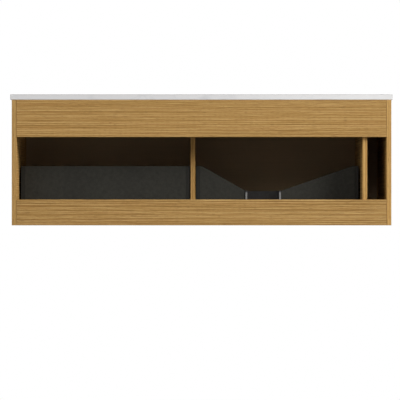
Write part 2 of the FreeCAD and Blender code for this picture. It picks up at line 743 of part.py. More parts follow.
def make_pivots():
    """Make the pins, bushes and upper bracket that the slim door turns on."""
    pins, bushes = [], []
    for name, seat, way in (("lower", "deck_level", "1"), ("upper", "front_top + front_gap", "-1")):
        washer = doc.addObject("Part::Cylinder", f"{name}_washer")
        shape_cylinder(washer, "pin_washer_radius", "pin_washer",
                       ("pivot_x", "pivot_y", f"{seat} + ({way} - 1) / 2 * pin_washer"), "z")
        shaft = doc.addObject("Part::Cylinder", f"{name}_shaft")
        shape_cylinder(shaft, "pin_radius", "2 * pin_reach",
                       ("pivot_x", "pivot_y", f"{seat} - pin_reach"), "z")
        pins.append(fuse(f"{name}_pin", [washer, shaft]))
        edge = f"{seat} + {way} * front_gap"
        sleeve = doc.addObject("Part::Cylinder", f"{name}_sleeve")
        shape_cylinder(sleeve, "bush_radius", "pin_reach",
                       ("pivot_x", "pivot_y", f"{edge} + ({way} - 1) / 2 * pin_reach"), "z")
        collar = doc.addObject("Part::Cylinder", f"{name}_collar")
        shape_cylinder(collar, "bush_flange_radius", "bush_flange",
                       ("pivot_x", "pivot_y", f"{edge} - ({way} + 1) / 2 * bush_flange"), "z")
        bore = doc.addObject("Part::Cylinder", f"{name}_bush_bore")
        shape_cylinder(bore, "pin_radius + pin_clearance", "2 * pin_reach",
                       ("pivot_x", "pivot_y", f"{edge} - pin_reach"), "z")
        bush = doc.addObject("Part::Cut", f"{name}_bush")
        bush.Base = fuse(f"{name}_bush_body", [sleeve, collar])
        bush.Tool = bore
        bushes.append(bush)
    group("door_pivot_pins", pins)
    group("door_bushes", bushes)
    bracket = start_body("door_pivot_bracket", ("inner_left", "front_face + bracket_length + front_gap",
                                                "front_top + front_gap"))
    reach = "pivot_x - inner_left + pin_washer_radius + bracket_sheet"
    angle = outline(bracket, "XZ_Plane", [
        ("0", "0"), (reach, "0"), (reach, "bracket_sheet"), ("bracket_sheet", "bracket_sheet"),
        ("bracket_sheet", "bracket_height"), ("0", "bracket_height")])
    raise_sketch(bracket, "Pad", angle, "bracket_length")
    cut_cylinder(bracket, "pin_radius + pin_clearance", "bracket_sheet",
                 ("pivot_x - inner_left", "pivot_depth - bracket_length - front_gap", "0"))


def make_catch():
    """Make the magnetic catch on the end divider that holds the slim door shut."""
    keep(loose_box("catch", ("end_divider_left - catch_width",
                             "front_back + strike_thickness + running_gap",
                             "front_top - catch_drop"),
                   ("catch_width", "catch_length", "catch_height")), "door_catch")


def check_and_write():
    """Check every object and piece, then write each piece to its own file."""
    doc.recompute()
    failed = [thing.Name for thing in doc.Objects if {"Invalid", "Error"} & set(thing.State)]
    failed += [piece.Label for piece in pieces if piece.Shape.isNull() or not piece.Shape.isValid()]
    if failed:
        raise RuntimeError(f"failed objects: {failed}")
    os.makedirs("parts", exist_ok=True)
    for piece in pieces:
        piece.Shape.exportStep(f"parts/{piece.Label}.step")
    print(f"{len(pieces)} pieces written")


make_side_panels()
make_rails_and_deck()
make_dowels()
make_dividers()
make_countertop()
make_basin()
make_basin_clips()
make_plain_drawer()
make_sink_drawer()
make_door()
make_pivots()
make_catch()
check_and_write()
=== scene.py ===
"""Looks of a wall-hung oak vanity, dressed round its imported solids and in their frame."""

import json
import logging
import math
from abc import ABC, abstractmethod
from dataclasses import dataclass
from enum import Enum

import bmesh
import bpy
from mathutils import Matrix, Vector

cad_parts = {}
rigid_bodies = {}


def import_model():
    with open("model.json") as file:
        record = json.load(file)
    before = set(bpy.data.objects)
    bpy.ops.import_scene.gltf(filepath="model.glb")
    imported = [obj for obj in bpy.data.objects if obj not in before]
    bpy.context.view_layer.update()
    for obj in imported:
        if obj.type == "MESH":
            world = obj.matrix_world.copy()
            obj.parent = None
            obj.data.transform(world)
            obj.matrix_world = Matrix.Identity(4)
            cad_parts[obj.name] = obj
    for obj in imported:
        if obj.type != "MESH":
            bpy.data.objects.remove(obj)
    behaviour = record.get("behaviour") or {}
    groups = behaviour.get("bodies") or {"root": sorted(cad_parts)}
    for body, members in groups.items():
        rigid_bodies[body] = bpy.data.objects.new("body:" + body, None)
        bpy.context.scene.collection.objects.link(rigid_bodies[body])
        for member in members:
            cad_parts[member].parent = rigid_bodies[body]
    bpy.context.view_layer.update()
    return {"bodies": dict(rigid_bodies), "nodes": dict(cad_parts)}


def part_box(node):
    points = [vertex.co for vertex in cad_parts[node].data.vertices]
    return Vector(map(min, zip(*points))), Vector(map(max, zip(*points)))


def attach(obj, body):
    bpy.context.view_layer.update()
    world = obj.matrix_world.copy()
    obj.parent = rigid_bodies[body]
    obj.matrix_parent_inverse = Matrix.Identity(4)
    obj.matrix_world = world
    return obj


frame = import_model()
LOG = logging.getLogger("vanity")

Colour = tuple[float, float, float, float]
Triple = tuple[float, float, float]
Pair = tuple[float, float]

WHITE: Colour = (1.0, 1.0, 1.0, 1.0)
# Average level of a noise.
NOISE_MEAN = 0.5
# A face whose direction has more than this along an axis counts as looking that way.
LOOKS_SHARE = 0.6
# Rays that judge each softened edge.
EDGE_SAMPLES = 4
# Folds sharper than this keep a hard edge.
HARD_ANGLE = math.radians(32)


class Axis(Enum):
    """Direction that a pattern runs in or a face looks in."""

    X = 0
    Y = 1
    Z = 2


class Body(Enum):
    """Moving group that a piece rides on."""

    CARCASS = "carcass"
    PLAIN_DRAWER = "plain_drawer"
    SINK_DRAWER = "sink_drawer"


def screen(red: float, green: float, blue: float, tone: float = 1.0) -> Colour:
    """Turn a colour as it looks on a screen into linear light, by the standard curve of screens.

    Args:
        red: red level, 0 to 255.
        green: green level, 0 to 255.
        blue: blue level, 0 to 255.
        tone: factor on the linear light.

    Returns:
        The linear colour with full alpha.
    """
    parts = [level / 255 for level in (red, green, blue)]
    linear = [part / 12.92 if part <= 0.04045 else ((part + 0.055) / 1.055) ** 2.4 for part in parts]
    return (linear[0] * tone, linear[1] * tone, linear[2] * tone, 1.0)


def times(vector: Triple, factor: float) -> Triple:
    """Multiply each part of a vector."""
    return tuple(part * factor for part in vector)


def even(repeats: float) -> Triple:
    """Return the same repeats per metre along each axis."""
    return (repeats, repeats, repeats)


def grain(along: float, across: float, run: Axis = Axis.X) -> Triple:
    """Return the repeats per metre along each axis of a pattern that runs along one of them."""
    return tuple(along if axis is run else across for axis in Axis)


@dataclass(frozen=True)
class Pattern:
    """A noise.

    Fields:
        repeats: repeats per metre along each axis.
        detail: number of finer layers.
        roughness: weight of the finer layers.
    """

    repeats: Triple
    detail: float = 2.0
    roughness: float = 0.5


@dataclass(frozen=True)
class Specks:
    """Marks of another colour where a noise is high.

    Fields:
        pattern: the noise.
        step: levels of the noise where the marks start and where they are full.
        shade: colour of the marks on a screen.
        share: share of that colour where the marks are full.
    """

    pattern: Pattern
    step: Pair
    shade: Triple
    share: float = 1.0


@dataclass(frozen=True)
class Relief:
    """Unevenness of a finish.

    Fields:
        step: height of the pattern in metres.
        strength: share of that height that shows.
        arris: radius of the softened edges in metres.
    """

    step: float
    strength: float
    arris: float


@dataclass(frozen=True)
class Sheen:
    """Gloss of a finish.

    Fields:
        least: roughness where the pattern is 0.
        swing: rise of the roughness to where the pattern is 1.
        specular: strength of the reflection.
    """

    least: float
    swing: float = 1.0
    specular: float = 0.5


class Signal:
    """A socket whose value changes over a surface; arithmetic on it adds Math nodes."""

    def __init__(self, graph: "Graph", socket: bpy.types.NodeSocket) -> None:
        """Wrap a socket of a graph."""
        self.graph = graph
        self.socket = socket

    def __add__(self, other: "Signal | float") -> "Signal":
        """Add a number or a signal."""
        return self.graph.maths("ADD", self, other)

    __radd__ = __add__

    def __sub__(self, other: "Signal | float") -> "Signal":
        """Take a number or a signal away."""
        return self.graph.maths("SUBTRACT", self, other)

    def __rsub__(self, other: float) -> "Signal":
        """Take this signal away from a number."""
        return self.graph.maths("SUBTRACT", other, self)

    def __mul__(self, other: "Signal | float") -> "Signal":
        """Multiply by a number or a signal."""
        return self.graph.maths("MULTIPLY", self, other)

    __rmul__ = __mul__

    def __abs__(self) -> "Signal":
        """Drop the sign."""
        return self.graph.maths("ABSOLUTE", self)


class Graph:
    """Node tree of one finish, with one way to add any node."""

    def __init__(self, tree: bpy.types.NodeTree) -> None:
        """Start from an emptied tree."""
        tree.nodes.clear()
        self.tree = tree

    def add(self, kind: str, settings: dict[str, object] | None = None,
            sockets: dict[str | int, object] | None = None) -> bpy.types.Node:
        """Add a node.

        Args:
            kind: node type without its common prefix.
            settings: properties, set first; stops holds the places and colours of a ramp.
            sockets: value or signal for each input, by name or number.

        Returns:
            The new node.
        """
        node = self.tree.nodes.new(f"ShaderNode{kind}")
        for name, setting in (settings or {}).items():
            if name == "stops":
                self.set_stops(node.color_ramp, setting)
            else:
                setattr(node, name, setting)
        for key, given in (sockets or {}).items():
            if isinstance(given, Signal):
                self.tree.links.new(given.socket, node.inputs[key])
            else:
                node.inputs[key].default_value = given
        return node

    @staticmethod
    def set_stops(ramp: bpy.types.ColorRamp, stops: list[tuple[float, Colour]]) -> None:
        """Give a ramp its stops.

        Args:
            ramp: ramp of a new node, which has two stops.
            stops: place and colour of each stop, in rising order.
        """
        for _ in stops[2:]:
            ramp.elements.new(1.0)
        for element, (place, colour) in zip(ramp.elements, stops):
            element.position = place
            element.color = colour

    def signal(self, node: bpy.types.Node, output: str | int = 0) -> Signal:
        """Wrap one output of a node."""
        return Signal(self, node.outputs[output])

    def maths(self, operation: str, *values: Signal | float) -> Signal:
        """Add a Math node on numbers and signals."""
        return self.signal(self.add("Math", {"operation": operation}, dict(enumerate(values))))

    def over(self, value: Signal, level: float) -> Signal:
        """Return 1 where a value is over a level and 0 elsewhere."""
        return self.maths("GREATER_THAN", value, level)

    def place(self) -> Signal:
        """Return the point on the object, in metres."""
        return self.signal(self.add("TexCoord"), "Object")

    def facing(self, axis: Axis) -> Signal:
        """Return how far the surface looks along an axis, from -1 to 1."""
        return self.split(self.signal(self.add("TexCoord"), "Normal"))[axis.value]

    def split(self, vector: Signal) -> list[Signal]:
        """Split a vector into its three parts."""
        node = self.add("SeparateXYZ", sockets={0: vector})
        return [self.signal(node, axis.value) for axis in Axis]

    def join(self, x: Signal | float, y: Signal | float, z: Signal | float) -> Signal:
        """Make a vector from three parts."""
        return self.signal(self.add("CombineXYZ", sockets={0: x, 1: y, 2: z}))

    def stretch(self, vector: Signal, factors: Triple) -> Signal:
        """Multiply a vector part by part."""
        return self.signal(self.add("VectorMath", {"operation": "MULTIPLY"}, {0: vector, 1: factors}))

    def shift(self, vector: Signal, step: "Signal | Triple") -> Signal:
        """Move a vector by a step."""
        return self.signal(self.add("VectorMath", {"operation": "ADD"}, {0: vector, 1: step}))

    def noise(self, vector: Signal, pattern: Pattern) -> Signal:
        """Return a noise at a point in metres."""
        sockets = {"Vector": self.stretch(vector, pattern.repeats), "Scale": 1.0,
                   "Detail": pattern.detail, "Roughness": pattern.roughness}
        return self.signal(self.add("TexNoise", sockets=sockets))

    def cells(self, vector: Signal, repeats: float) -> Signal:
        """Return a flat random grey for each cell of a crystal pattern."""
        node = self.add("TexVoronoi", {"feature": "F1"}, {"Vector": vector, "Scale": repeats})
        return self.split(self.signal(node, "Color"))[0]

    def span(self, value: Signal, low: float, high: float) -> Signal:
        """Return a soft step.

        Args:
            value: value to compare with the levels.
            low: level where the step is 0.
            high: level where it is 1, over or under the other.

        Returns:
            The step.
        """
        settings = {"interpolation_type": "SMOOTHSTEP", "clamp": True}
        sockets = {"Value": value, "From Min": low, "From Max": high}
        return self.signal(self.add("MapRange", settings, sockets))

    def ramp(self, value: Signal, stops: list[tuple[float, Colour]]) -> Signal:
        """Colour a value by the stops of a ramp."""
        return self.signal(self.add("ValToRGB", {"stops": stops}, {0: value}))

    def blend(self, factor: Signal, first: "Signal | Colour", second: "Signal | Colour") -> Signal:
        """Mix two colours, by the sockets that a Mix node keeps for colours."""
        node = self.add("Mix", {"data_type": "RGBA"}, {0: factor, 6: first, 7: second})
        return self.signal(node, 2)

    def choose(self, factor: Signal, first: Signal, second: Signal) -> Signal:
        """Mix two vectors, by the sockets that a Mix node keeps for vectors."""
        node = self.add("Mix", {"data_type": "VECTOR"}, {0: factor, 4: first, 5: second})
        return self.signal(node, 1)

    def marks(self, vector: Signal, specks: Specks) -> Signal:
        """Return 1 where marks are full and 0 between them, at a point in metres."""
        return self.span(self.noise(vector, specks.pattern), *specks.step)

    def stain(self, marks: Signal, colour: "Signal | Colour", specks: Specks, tone: float = 1.0) -> Signal:
        """Lay the colour of marks, times a tone, over another colour."""
        return self.blend(marks * specks.share, colour, screen(*specks.shade, tone))

    def bump(self, height: Signal, relief: Relief) -> Signal:
        """Return a surface direction that follows a height and rolls over at the edges.

        Args:
            height: pattern that the surface rises with.
            relief: size of the unevenness and of the softened edges.

        Returns:
            The direction.
        """
        rolled = self.signal(self.add("Bevel", {"samples": EDGE_SAMPLES}, {"Radius": relief.arris}))
        sockets = {"Strength": relief.strength, "Distance": relief.step, "Height": height,
                   "Normal": rolled}
        return self.signal(self.add("Bump", sockets=sockets))

    def seen(self) -> Signal:
        """Find the rays that show white surroundings.

        Returns:
            1 for those rays and 0 for rays that only light.
        """
        path = self.add("LightPath")
        rays = [self.signal(path, f"Is {kind} Ray") for kind in ("Camera", "Glossy", "Transmission")]
        return self.maths("MAXIMUM", self.maths("MAXIMUM", rays[0], rays[1]), rays[2])

    def mixed(self, share: Signal, first: bpy.types.Node, second: bpy.types.Node) -> Signal:
        """Mix two shaders."""
        sockets = {0: share, 1: self.signal(first), 2: self.signal(second)}
        return self.signal(self.add("MixShader", sockets=sockets))

    def surface(self, colour: Signal, sheen: Sheen, rough: Signal, normal: Signal,
                more: dict[str, float] | None = None) -> None:
        """Finish a material with one shader.

        Args:
            colour: colour of the surface.
            sheen: gloss of the surface.
            rough: pattern that the roughness follows.
            normal: direction of the surface.
            more: values of other sockets of the shader, by name.
        """
        sockets = {"Base Color": colour, "Roughness": sheen.least + rough * sheen.swing,
                   "Specular IOR Level": sheen.specular, "Normal": normal, **(more or {})}
        shader = self.signal(self.add("BsdfPrincipled", sockets=sockets))
        self.add("OutputMaterial", sockets={"Surface": shader})


@dataclass(frozen=True)
class Finish(ABC):
    """A finish that makes its material on first use."""

    name: str

    @abstractmethod
    def paint(self, graph: Graph) -> None:
        """Fill the material's node tree."""

    def material(self) -> bpy.types.Material:
        """Return the material of this finish, made on the first call.

        Returns:
            The material.
        """
        material = bpy.data.materials.get(self.name)
        if material is None:
            material = bpy.data.materials.new(self.name)
            material.use_nodes = True
            self.paint(Graph(material.node_tree))
        return material


@dataclass(frozen=True)
class OakVeneer(Finish):
    """Straight-grained oak veneer with an upright edge band across the ends of the grain.

    Fields:
        run: direction of the grain.
        tone: factor on the light of the faces.
        band_tone: factor on the light of the edge band.
        slide: place in the flitch that the sheet was cut from.
        backing: share of the plain backing sheet on faces that look at the wall.
        contrast: factor on the swing between dark and pale lines.
        ruddy: share of the ruddy colour in its streaks.
        joint: distance from the middle to the ends that meet the side panels, where a painted shadow line
            is laid in the gap, or 0 for none.
    """

    # Patterns with the grain along their first axis, from a slow bend to the open pores.
    BEND = Pattern(grain(0.8, 3.0), detail=1.0)
    LINES = Pattern(grain(0.9, 280.0), detail=0.0)
    STREAKS = Pattern(grain(7.0, 300.0), detail=0.0)
    RUDDY_STREAKS = Specks(Pattern(grain(2.2, 230.0), detail=0.0), (0.5, 0.75), (170, 126, 72))
    FIBRES = Pattern(grain(16.0, 1250.0), roughness=0.7)
    PORES = Specks(Pattern(grain(48.0, 1700.0), detail=0.0), (0.6, 0.7), (98, 68, 34), 0.5)
    # Reach of the bend and step from a dark line to the pale one beside it, in metres.
    BEND_REACH = 0.002
    LINE_STEP = (0.0, 0.0, 0.004)
    # Steps along and across the grain for each metre of slide.
    SLIDE_STEP = (1.0, 0.37, 0.61)
    # Weights in the growth, then in the figure, whose average is taken off.
    LINE_WEIGHT = 0.4
    STREAK_WEIGHT = 0.26
    BESIDE_WEIGHT = 0.45
    GROWTH_WEIGHT = 0.86
    FIBRE_WEIGHT = 0.32
    FIGURE_MEAN = 0.316
    # Tone of the wood on average, and colour of each tone.
    MIDDLE_TONE = 0.51
    SHADES = ((0.34, (129, 91, 40)), (0.44, (154, 117, 61)), (0.53, (171, 134, 76)),
              (0.64, (193, 158, 100)))
    BACKING_SHADE = (164, 141, 110)
    # Painted shadow line in the gap at a joint: its width in metres, its colour and the share of that
    # colour.
    JOINT_SHADOW_WIDTH = 0.0008
    JOINT_SHADOW_SHADE = (52, 36, 18)
    JOINT_SHADOW_SHARE = 0.7
    # Rise of the fibres and depth of the pores against the growth.
    FIBRE_RISE = 0.5
    PORE_DEPTH = 0.6
    RELIEF = Relief(step=0.0004, strength=0.3, arris=0.0009)
    SHEEN = Sheen(least=0.5, swing=0.2, specular=0.24)

    run: Axis = Axis.X
    tone: float = 0.95
    band_tone: float = 0.95
    slide: float = 0.0
    backing: float = 0.0
    contrast: float = 1.0
    ruddy: float = 0.3
    joint: float = 0.0

    def figure_place(self, graph: Graph) -> tuple[Signal, Signal]:
        """Find the point in the veneer that shows at each place.

        Args:
            graph: node tree of the finish.

        Returns:
            The point with the grain along its first part, and 1 where the edge band shows.
        """
        parts = graph.split(graph.place())
        across = [parts[axis.value] for axis in Axis if axis is not self.run]
        face = graph.join(parts[self.run.value], *across)
        band = graph.join(parts[2], parts[0], parts[1])
        on_band = graph.over(abs(graph.facing(self.run)), LOOKS_SHARE)
        chosen = graph.choose(on_band, face, band)
        return graph.shift(chosen, times(self.SLIDE_STEP, self.slide)), on_band

    def growth(self, graph: Graph, point: Signal) -> Signal:
        """Return long growth lines and short streaks at a point."""
        lines = graph.noise(point, self.LINES) * self.LINE_WEIGHT
        return lines + graph.noise(point, self.STREAKS) * self.STREAK_WEIGHT

    def coloured(self, graph: Graph, figure: Signal, tone: float) -> Signal:
        """Give the figure the colours of the wood, times a tone."""
        return graph.ramp(figure, [(spot, screen(*shade, tone)) for spot, shade in self.SHADES])

    def paint(self, graph: Graph) -> None:
        """Lay growth, fibres, ruddy streaks and open pores along the grain.

        Args:
            graph: node tree of the finish.
        """
        point, on_band = self.figure_place(graph)
        bend = (graph.noise(point, self.BEND) - NOISE_MEAN) * self.BEND_REACH
        wavy = graph.shift(point, graph.join(0.0, bend, bend))
        beside = graph.shift(wavy, self.LINE_STEP)
        growth = self.growth(graph, wavy) - self.growth(graph, beside) * self.BESIDE_WEIGHT
        fibres = graph.noise(wavy, self.FIBRES)
        pores = graph.marks(wavy, self.PORES)
        swing = growth * self.GROWTH_WEIGHT + fibres * self.FIBRE_WEIGHT - self.FIGURE_MEAN
        figure = self.MIDDLE_TONE + swing * self.contrast
        wood = graph.blend(on_band, self.coloured(graph, figure, self.tone),
                           self.coloured(graph, figure, self.band_tone))
        ruddy = graph.marks(wavy, self.RUDDY_STREAKS) * self.ruddy
        wood = graph.stain(ruddy, wood, self.RUDDY_STREAKS, self.tone)
        wood = graph.stain(pores, wood, self.PORES, self.tone)
        on_back = graph.over(graph.facing(Axis.Y), LOOKS_SHARE)
        wood = graph.blend(on_back * self.backing, wood, screen(*self.BACKING_SHADE))
        # Painted shadow line in the gap where each end meets a side panel.
        if self.joint:
            off_middle = abs(graph.split(graph.place())[0])
            line = graph.over(off_middle, self.joint - self.JOINT_SHADOW_WIDTH)
            wood = graph.blend(line * self.JOINT_SHADOW_SHARE, wood, screen(*self.JOINT_SHADOW_SHADE))
        height = growth + fibres * self.FIBRE_RISE - pores * self.PORE_DEPTH
        graph.surface(wood, self.SHEEN, fibres, graph.bump(height, self.RELIEF))


@dataclass(frozen=True)
class CharcoalLaminate(Finish):
    """Dark laminate pressed with a fine linen weave, with a duller band on the rear edges.

    Fields:
        dark: colour of the low threads.
        light: colour of the high threads.
        band_share: share of the duller colour on faces that look forward or at the wall.
        shaded_gap_end: place across the vanity where a painted shadow of a narrow gap along one end of the
            board stops, if any.
    """

    # Threads per metre and repeats along a thread, their detail, and the share of each of three sets.
    THREADS = (760.0, 70.0)
    THREAD_DETAIL = 1.0
    SET_SHARE = 0.333
    # Clouds of rubbed tone, weights of weave and clouds, and where the tone starts and ends.
    CLOUDS = Pattern(even(7.0), detail=3.0)
    WEAVE_WEIGHT = 0.7
    CLOUD_WEIGHT = 0.3
    TONE_STEP = (0.36, 0.64)
    BAND_SHADE = (20, 19, 17)
    # Painted shadow of the narrow gap at the board's end: its colour and the share of that colour.
    GAP_SHADOW_SHADE = (8, 8, 7)
    GAP_SHADOW_SHARE = 0.9
    RELIEF = Relief(step=0.0002, strength=0.35, arris=0.0006)
    SHEEN = Sheen(least=0.5, swing=0.2, specular=0.1)

    dark: Triple = (42, 41, 37)
    light: Triple = (53, 52, 47)
    band_share: float = 0.0
    shaded_gap_end: float | None = None

    def paint(self, graph: Graph) -> None:
        """Cross three sets of threads and add a faint cloud of rubbed tone.

        Args:
            graph: node tree of the finish.
        """
        point = graph.place()
        sets = [Pattern(grain(*self.THREADS, axis), self.THREAD_DETAIL) for axis in Axis]
        threads = [graph.noise(point, pattern) for pattern in sets]
        weave = (threads[0] + threads[1] + threads[2]) * self.SET_SHARE
        clouds = graph.noise(point, self.CLOUDS)
        tone = graph.span(weave * self.WEAVE_WEIGHT + clouds * self.CLOUD_WEIGHT, *self.TONE_STEP)
        colour = graph.blend(tone, screen(*self.dark), screen(*self.light))
        on_band = graph.over(abs(graph.facing(Axis.Y)), LOOKS_SHARE)
        colour = graph.blend(on_band * self.band_share, colour, screen(*self.BAND_SHADE))
        # Painted shadow of the narrow gap at the board's end.
        if self.shaded_gap_end is not None:
            in_gap_shadow = graph.maths("LESS_THAN", graph.split(point)[0], self.shaded_gap_end)
            colour = graph.blend(in_gap_shadow * self.GAP_SHADOW_SHARE, colour, screen(*self.GAP_SHADOW_SHADE))
        graph.surface(colour, self.SHEEN, clouds, graph.bump(weave, self.RELIEF))


@dataclass(frozen=True)
class HonedStone(Finish):
    """White stone with faint drifting grey veins and a fine grain.

    Fields:
        ground: colour at the plain drawer's end.
        painted_lit_ground: colour at the basin's end, paler by painted light that grows towards it.
        vein: colour of the veins.
        arris: colour of the painted shade on the eased arris along the wall.
        reach: distance from the middle to where the painted light on the ground is at its strongest, in
            metres.
        slide: place in the slab that the top was cut from.
    """

    # Drift of the veins, and its reach along each axis for a full swing, in metres.
    DRIFT = Pattern(even(2.2), detail=3.0)
    DRIFT_REACH = (0.22, 0.3, 0.2)
    # Veins, each with its half width as a swing of the noise and with its weight.
    BROAD_VEINS = (Pattern((2.6, 4.2, 3.0), detail=4.0, roughness=0.55), 0.05, 0.5)
    THIN_VEINS = (Pattern((6.5, 9.0, 7.0), detail=3.0), 0.018, 0.3)
    # Clouds that shade the ground and, between two levels, let the veins show.
    CLOUDS = Pattern(even(5.0))
    CLOUD_WEIGHT = 0.3
    CLOUD_STEP = (0.42, 0.66)
    CRYSTALS = Specks(Pattern(even(900.0), detail=1.0), (0.55, 0.7), (204, 203, 201), 0.14)
    # Steps along each axis for each metre of slide.
    SLIDE_STEP = (1.0, 0.4, 0.0)
    # Share of the reach, on the far side of the middle, where the painted light that makes the ground
    # paler starts.
    LIGHT_GRADE_START = 0.5
    # How far a face looks up and rearward where the painted shade on the arris starts and where it is
    # full.
    ARRIS_SHADE_STEP = (0.1, 0.3)
    RELIEF = Relief(step=0.00008, strength=0.2, arris=0.0006)
    SHEEN = Sheen(least=0.5, swing=0.12, specular=0.12)

    ground: Triple = (208, 207, 207)
    painted_lit_ground: Triple = (222, 221, 220)
    vein: Triple = (190, 190, 192)
    arris: Triple = (178, 177, 176)
    reach: float = 0.8
    slide: float = 3.92

    @staticmethod
    def veins(graph: Graph, point: Signal, pattern: Pattern, width: float, weight: float) -> Signal:
        """Return the weight along the middle of each vein, falling to 0 over its half width."""
        return (1.0 - graph.span(abs(graph.noise(point, pattern) - NOISE_MEAN), 0.0, width)) * weight

    def paint(self, graph: Graph) -> None:
        """Bend the veins through a slow drift and scatter crystals between them.

        Args:
            graph: node tree of the finish.
        """
        spot = graph.place()
        point = graph.shift(spot, times(self.SLIDE_STEP, self.slide))
        drift = graph.noise(point, self.DRIFT) - NOISE_MEAN
        bent = graph.shift(point, graph.join(*(drift * reach for reach in self.DRIFT_REACH)))
        veins = self.veins(graph, bent, *self.BROAD_VEINS) + self.veins(graph, bent, *self.THIN_VEINS)
        clouds = graph.noise(point, self.CLOUDS)
        crystals = graph.noise(point, self.CRYSTALS.pattern)
        # Painted light: the ground turns paler towards the basin's end; the clouds on top are the stone's
        # own.
        lit_grade = graph.span(graph.split(spot)[0], self.reach * self.LIGHT_GRADE_START, -self.reach)
        lit_grade = lit_grade + (clouds - NOISE_MEAN) * self.CLOUD_WEIGHT
        colour = graph.blend(lit_grade, screen(*self.ground), screen(*self.painted_lit_ground))
        colour = graph.blend(veins * graph.span(clouds, *self.CLOUD_STEP), colour, screen(*self.vein))
        colour = graph.stain(graph.span(crystals, *self.CRYSTALS.step), colour, self.CRYSTALS)
        # Painted shade on the eased arris that looks up and rearward along the wall.
        upward, rearward = (graph.span(graph.facing(axis), *self.ARRIS_SHADE_STEP) for axis in (Axis.Z, Axis.Y))
        colour = graph.blend(upward * rearward, colour, screen(*self.arris))
        graph.surface(colour, self.SHEEN, crystals, graph.bump(crystals, self.RELIEF))


@dataclass(frozen=True)
class WhiteGlaze(Finish):
    """Glossy ceramic glaze with a barely uneven surface."""

    POOLS = Specks(Pattern(even(11.0)), (0.35, 0.7), (217, 218, 216), 0.5)
    PINHOLES = Specks(Pattern(even(420.0), detail=0.0), (0.76, 0.8), (205, 203, 196), 0.25)
    RELIEF = Relief(step=0.0012, strength=0.12, arris=0.0015)
    SHEEN = Sheen(least=0.07, swing=0.06)
    COAT = {"Coat Weight": 0.6, "Coat Roughness": 0.04}

    ground: Triple = (224, 224, 221)

    def paint(self, graph: Graph) -> None:
        """Vary the glaze by a slow pooling and a few pinholes.

        Args:
            graph: node tree of the finish.
        """
        point = graph.place()
        pooling = graph.noise(point, self.POOLS.pattern)
        colour = graph.stain(graph.span(pooling, *self.POOLS.step), screen(*self.ground), self.POOLS)
        colour = graph.stain(graph.marks(point, self.PINHOLES), colour, self.PINHOLES)
        graph.surface(colour, self.SHEEN, pooling, graph.bump(pooling, self.RELIEF), self.COAT)


@dataclass(frozen=True)
class SatinMetal(Finish):
    """Metal with rolled streaks along one direction and, where plated, pale crystals.

    Fields:
        light: colour of the pale streaks.
        dark: colour of the dark streaks.
        streak: direction of the streaks.
        crystals: share of the plated crystals in the tone.
        metallic: share of the metal's own reflection.
        roughness: roughness of the metal, about.
    """

    # Repeats per metre along and across the streaks, finger marks, and crystals per metre.
    STREAKS = (9.0, 900.0)
    MARKS = Pattern(even(28.0), detail=3.0)
    CRYSTALS = 260.0
    # Roughness that the streaks and the marks bring, and the drop that makes room for it.
    STREAK_ROUGHNESS = 0.12
    MARK_ROUGHNESS = 0.1
    ROUGHNESS_DROP = 0.1
    RELIEF = Relief(step=0.0001, strength=0.2, arris=0.0002)

    light: Triple = (190, 193, 196)
    dark: Triple = (150, 154, 158)
    streak: Axis = Axis.Y
    crystals: float = 0.35
    metallic: float = 1.0
    roughness: float = 0.34

    def paint(self, graph: Graph) -> None:
        """Mix rolled streaks with plated crystals and finger marks.

        Args:
            graph: node tree of the finish.
        """
        point = graph.place()
        streaks = graph.noise(point, Pattern(grain(*self.STREAKS, self.streak)))
        marks = graph.noise(point, self.MARKS)
        tone = streaks * (1.0 - self.crystals) + graph.cells(point, self.CRYSTALS) * self.crystals
        colour = graph.blend(tone, screen(*self.dark), screen(*self.light))
        rough = streaks * self.STREAK_ROUGHNESS + marks * self.MARK_ROUGHNESS
        sheen = Sheen(self.roughness - self.ROUGHNESS_DROP)
        graph.surface(colour, sheen, rough, graph.bump(streaks, self.RELIEF), {"Metallic": self.metallic})


@dataclass(frozen=True)
class MouldedPlastic(Finish):
    """Moulded plastic or rubber with a fine spark-eroded grain."""

    PITS = Pattern(even(1300.0))
    PIT_WEIGHT = 0.4
    FLOW = Pattern(grain(24.0, 60.0, Axis.Y))
    FLOW_WEIGHT = 0.6
    ROUGHNESS_SWING = 0.16
    RELIEF = Relief(step=0.0001, strength=0.3, arris=0.0004)

    light: Triple = (98, 100, 102)
    dark: Triple = (80, 82, 84)
    roughness: float = 0.5
    specular: float = 0.35

    def paint(self, graph: Graph) -> None:
        """Cover the moulding with a fine grain and slow flow marks.

        Args:
            graph: node tree of the finish.
        """
        point = graph.place()
        pits = graph.noise(point, self.PITS)
        tone = pits * self.PIT_WEIGHT + graph.noise(point, self.FLOW) * self.FLOW_WEIGHT
        colour = graph.blend(tone, screen(*self.dark), screen(*self.light))
        sheen = Sheen(self.roughness - self.ROUGHNESS_SWING / 2, self.ROUGHNESS_SWING, self.specular)
        graph.surface(colour, sheen, pits, graph.bump(pits, self.RELIEF))


@dataclass(frozen=True)
class BareBeech(Finish):
    """Pale turned beech with short flecks."""

    FIBRES = Pattern(grain(30.0, 700.0))
    FLECKS = Specks(Pattern(grain(140.0, 1100.0), detail=1.0), (0.6, 0.7), (160, 116, 74), 0.5)
    RELIEF = Relief(step=0.0002, strength=0.3, arris=0.0006)
    SHEEN = Sheen(least=0.6, swing=0.15, specular=0.2)

    dark: Triple = (196, 160, 116)
    light: Triple = (216, 184, 140)

    def paint(self, graph: Graph) -> None:
        """Scatter the flecks along the dowels.

        Args:
            graph: node tree of the finish.
        """
        point = graph.place()
        fibres = graph.noise(point, self.FIBRES)
        colour = graph.blend(fibres, screen(*self.dark), screen(*self.light))
        colour = graph.stain(graph.marks(point, self.FLECKS), colour, self.FLECKS)
        graph.surface(colour, self.SHEEN, fibres, graph.bump(fibres, self.RELIEF))


